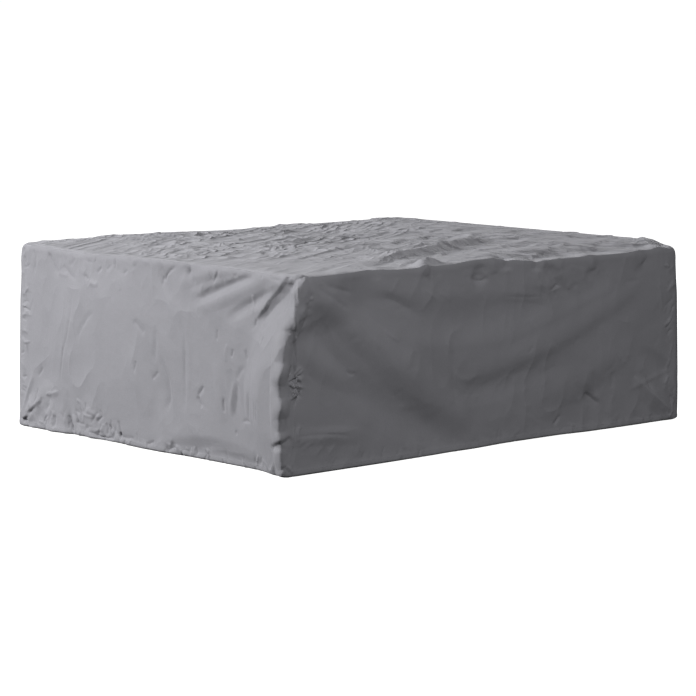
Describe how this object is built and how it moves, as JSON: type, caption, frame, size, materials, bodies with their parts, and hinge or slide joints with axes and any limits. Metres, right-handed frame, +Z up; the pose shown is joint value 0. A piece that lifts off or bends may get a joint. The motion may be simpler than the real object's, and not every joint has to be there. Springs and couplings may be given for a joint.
{
  "type": "fitted patio furniture cover",
  "caption": "Fitted box-shaped outdoor cover of grey coated cloth, sewn from a top and walls with turned-up hems. Hollow and open below, it hangs in soft swags, folds and wrinkles.",
  "frame": {"origin": "on the ground under the middle of the cover", "axes": "+X along the long side, +Y across the short side away from the front wall, +Z up"},
  "size_m": [2.6349, 2.0656, 0.9024],
  "materials": {
    "coated_cloth": "grey woven polyester with a faintly satin water-tight coating, wrinkled"
  },
  "bodies": {
    "root": {"top_panel": "coated_cloth", "front_panel": "coated_cloth", "left_panel": "coated_cloth", "back_panel": "coated_cloth", "right_panel": "coated_cloth"}
  },
  "joints": []
}
